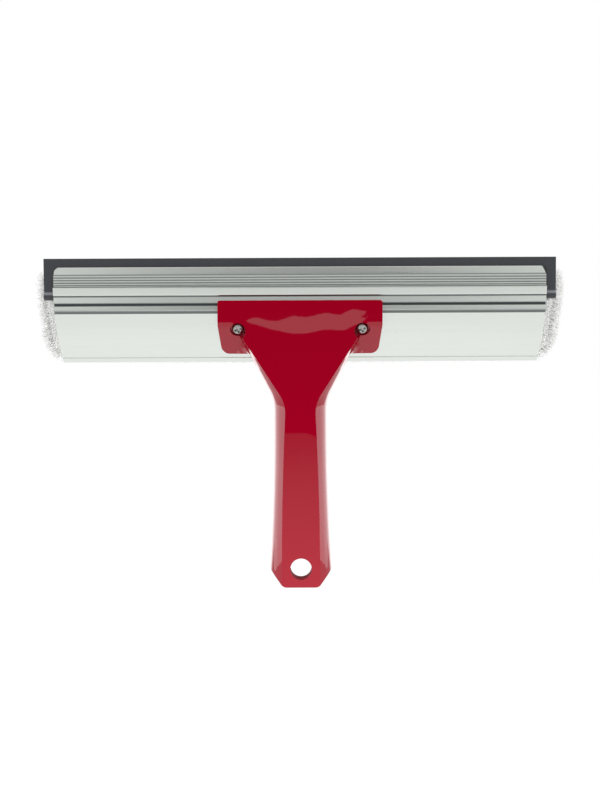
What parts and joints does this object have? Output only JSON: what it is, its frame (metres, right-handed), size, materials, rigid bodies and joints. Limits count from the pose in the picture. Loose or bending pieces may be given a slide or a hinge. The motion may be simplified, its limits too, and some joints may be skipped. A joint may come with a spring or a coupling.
{
  "type": "window cleaning squeegee",
  "caption": "Hand squeegee with a rubber wiping blade in a ribbed aluminium head, a plush washing pad behind it and a faceted red plastic handle with a hanging hole.",
  "frame": {"origin": "middle of the hanging hole's axis, in the end of the handle", "axes": "+X along the blade, +Y from the handle's front towards the washing pad, +Z from the hanging hole up to the wiping edge"},
  "size_m": [0.304, 0.0471, 0.194],
  "materials": {
    "red_plastic": "glossy moulded plastic",
    "aluminium": "satin anodised extrusion",
    "rubber": "smooth dark grey rubber",
    "zinc_steel": "zinc-plated strip",
    "screw_chrome": "bright plated screw",
    "board_plastic": "extruded white plastic",
    "foam": "open-cell foam",
    "plush": "deep white plush pile"
  },
  "bodies": {
    "tool": {"handle": "red_plastic", "head_profile": "aluminium", "backing_strip": "zinc_steel", "handle_screws": "screw_chrome"},
    "blade": {"blade_rubber": "rubber"},
    "pad": {"pad_board": "board_plastic", "pad_foam": "foam", "pad_cover": "plush", "pad_end_left": "plush", "pad_end_right": "plush"}
  },
  "joints": [
    {"name": "blade_slide", "type": "slide", "parent": "tool", "child": "blade", "axis": [-1, 0, 0], "range_m": [0, 0.3]},
    {"name": "pad_slide", "type": "slide", "parent": "tool", "child": "pad", "axis": [1, 0, 0], "range_m": [0, 0.3]}
  ]
}
